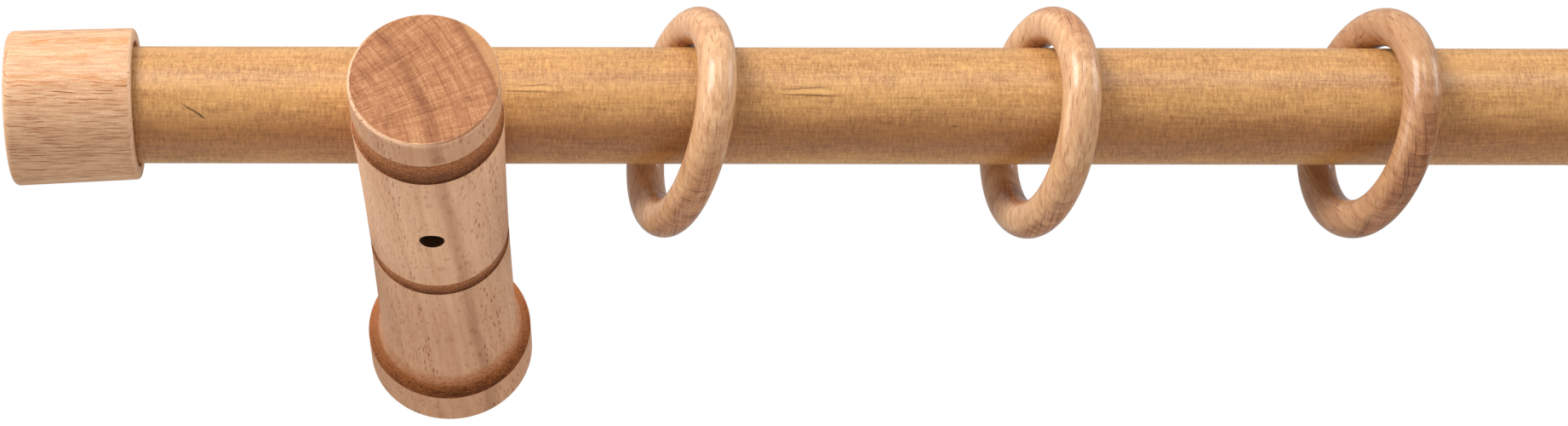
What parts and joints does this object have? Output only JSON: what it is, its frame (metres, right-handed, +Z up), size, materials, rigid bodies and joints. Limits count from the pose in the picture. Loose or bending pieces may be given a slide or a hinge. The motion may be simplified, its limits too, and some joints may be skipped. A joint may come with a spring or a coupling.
{
  "type": "curtain rod with brackets",
  "caption": "Round wooden curtain rod lying in the open saddles of two turned wall brackets, with slip-on end caps and plain round rings that slide along it.",
  "frame": {"origin": "centre of the left bracket's wall face, at the mouth of its threaded insert", "axes": "+X along the rod from the left bracket to the right one, +Y into the wall, +Z up"},
  "size_m": [1.0148, 0.133, 0.064],
  "materials": {
    "stained_rod_wood": "satin, honey stained",
    "bracket_beech": "bare turned beech with scorched grooves",
    "cap_beech": "light beech, thin clear coat",
    "ring_beech": "light beech, clear lacquer",
    "insert_brass": "machined",
    "screw_steel": "zinc plated"
  },
  "bodies": {
    "brackets": {"left_bracket": "bracket_beech", "right_bracket": "bracket_beech", "left_wall_insert": "insert_brass", "right_wall_insert": "insert_brass"},
    "rod": {"rod": "stained_rod_wood"},
    "left_cap": {"left_end_cap": "cap_beech"},
    "right_cap": {"right_end_cap": "cap_beech"},
    "left_screw": {"left_lock_screw": "screw_steel"},
    "right_screw": {"right_lock_screw": "screw_steel"},
    "ring_1": {"ring_1": "ring_beech"},
    "ring_2": {"ring_2": "ring_beech"},
    "ring_3": {"ring_3": "ring_beech"},
    "ring_4": {"ring_4": "ring_beech"},
    "ring_5": {"ring_5": "ring_beech"},
    "ring_6": {"ring_6": "ring_beech"},
    "ring_7": {"ring_7": "ring_beech"},
    "ring_8": {"ring_8": "ring_beech"},
    "ring_9": {"ring_9": "ring_beech"}
  },
  "joints": [
    {"name": "cap_left_pull", "type": "slide", "parent": "rod", "child": "left_cap", "axis": [-1, 0, 0], "range_m": [0, 0.03]},
    {"name": "cap_right_pull", "type": "slide", "parent": "rod", "child": "right_cap", "axis": [1, 0, 0], "range_m": [0, 0.03]},
    {"name": "ring_1_slide", "type": "slide", "parent": "rod", "child": "ring_1", "axis": [1, 0, 0], "range_m": [-0.0284, 0.0738]},
    {"name": "ring_2_slide", "type": "slide", "parent": "rod", "child": "ring_2", "axis": [1, 0, 0], "range_m": [-0.0738, 0.0668]},
    {"name": "ring_3_slide", "type": "slide", "parent": "rod", "child": "ring_3", "axis": [1, 0, 0], "range_m": [-0.0668, 0.0738]},
    {"name": "ring_4_slide", "type": "slide", "parent": "rod", "child": "ring_4", "axis": [1, 0, 0], "range_m": [-0.0738, 0.0668]},
    {"name": "ring_5_slide", "type": "slide", "parent": "rod", "child": "ring_5", "axis": [1, 0, 0], "range_m": [-0.0668, 0.0738]},
    {"name": "ring_6_slide", "type": "slide", "parent": "rod", "child": "ring_6", "axis": [1, 0, 0], "range_m": [-0.0738, 0.0668]},
    {"name": "ring_7_slide", "type": "slide", "parent": "rod", "child": "ring_7", "axis": [1, 0, 0], "range_m": [-0.0668, 0.0738]},
    {"name": "ring_8_slide", "type": "slide", "parent": "rod", "child": "ring_8", "axis": [1, 0, 0], "range_m": [-0.0738, 0.0668]},
    {"name": "ring_9_slide", "type": "slide", "parent": "rod", "child": "ring_9", "axis": [1, 0, 0], "range_m": [-0.0668, 0.0592]},
    {"name": "rod_lift", "type": "slide", "parent": "brackets", "child": "rod", "axis": [0, 0, 1], "range_m": [0, 0.03]},
    {"name": "screw_left_draw", "type": "slide", "parent": "brackets", "child": "left_screw", "axis": [0, 0, -1], "range_m": [0, 0.045]},
    {"name": "screw_right_draw", "type": "slide", "parent": "brackets", "child": "right_screw", "axis": [0, 0, -1], "range_m": [0, 0.045]}
  ]
}
